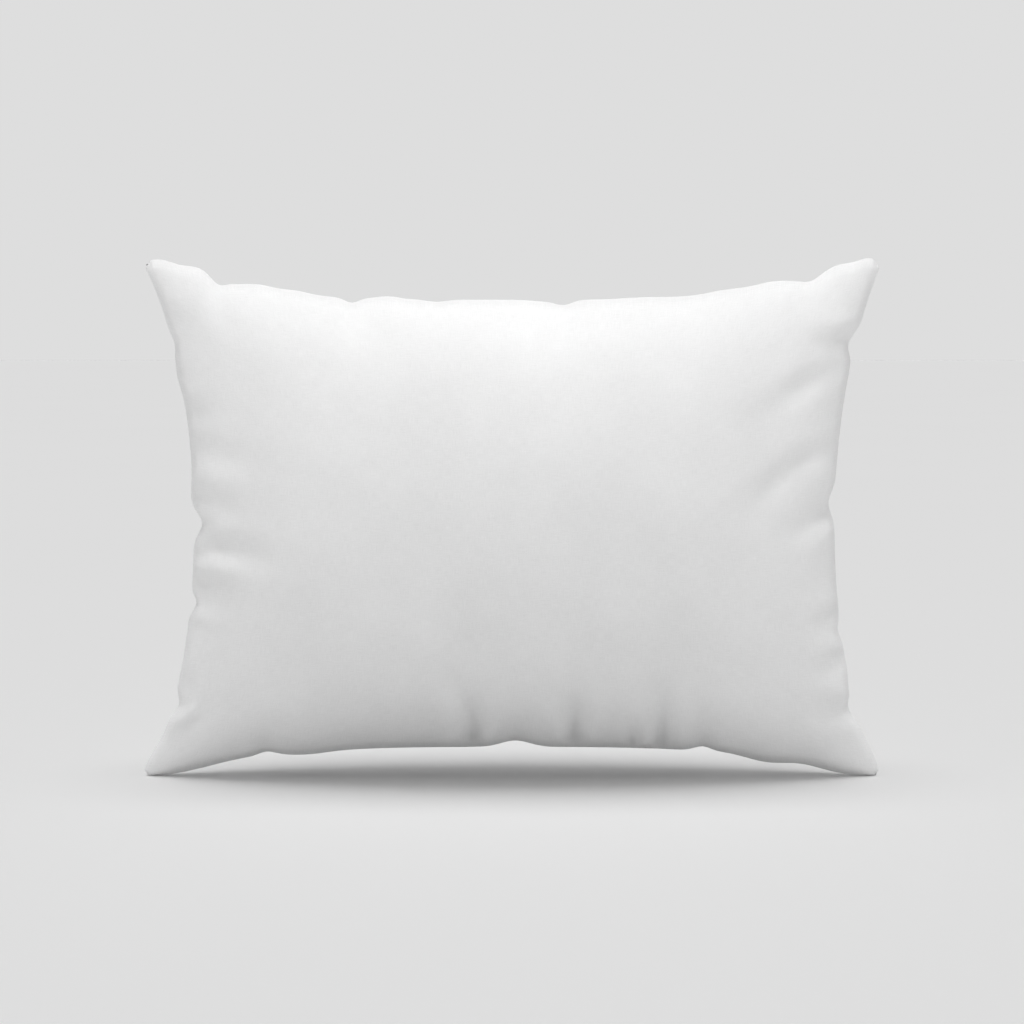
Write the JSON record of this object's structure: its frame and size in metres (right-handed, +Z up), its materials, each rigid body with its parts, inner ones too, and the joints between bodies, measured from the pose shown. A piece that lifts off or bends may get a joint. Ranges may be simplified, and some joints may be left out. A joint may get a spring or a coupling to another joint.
{
  "type": "bed pillow",
  "caption": "Rectangular bed pillow: a zipped woven cover over a fibre-filled inner pillow, knife-edge seams and dog-ear corners.",
  "frame": {"origin": "on the floor under the middle of the pillow, which stands on its two lower corner tips", "axes": "+X along the long side, +Y from the front panel to the back panel, +Z up"},
  "size_m": [0.69, 0.19, 0.484],
  "materials": {
    "cotton_cover": "matte",
    "cotton_ticking": "matte",
    "polyester_fibre": "matte",
    "sewing_thread": "matte",
    "zip_tape": "matte",
    "zip_coil": "satin",
    "zip_metal": "satin",
    "label_tape": "satin"
  },
  "bodies": {
    "pillow": {"cover_front_panel": "cotton_cover", "cover_back_panel": "cotton_cover", "cover_seam_allowance": "cotton_cover", "cover_seam_thread": "sewing_thread", "ticking_front_panel": "cotton_ticking", "ticking_back_panel": "cotton_ticking", "ticking_seam_allowance": "cotton_ticking", "ticking_seam_thread": "sewing_thread", "closing_stitch": "sewing_thread", "care_label": "label_tape", "fibre_wrap_front": "polyester_fibre", "fibre_wrap_back": "polyester_fibre", "fibre_core": "polyester_fibre", "zip_tape_front": "zip_tape", "zip_tape_back": "zip_tape", "zip_coil_front": "zip_coil", "zip_coil_back": "zip_coil", "zip_stitching": "sewing_thread", "zip_top_stops": "zip_metal", "zip_bottom_stop": "zip_metal", "zip_bar_tacks": "sewing_thread"},
    "slider": {"zip_slider": "zip_metal"},
    "pull_tab": {"zip_pull_tab": "zip_metal"}
  },
  "joints": [
    {"name": "zip_slide", "type": "slide", "parent": "pillow", "child": "slider", "axis": [1, 0, 0], "range_m": [-0.383, 0]},
    {"name": "pull_tab_swing", "type": "hinge", "parent": "slider", "child": "pull_tab", "pos_m": [0.1665, 0, 0.0396], "axis": [0, 1, 0], "range_deg": [-80, 80]}
  ]
}
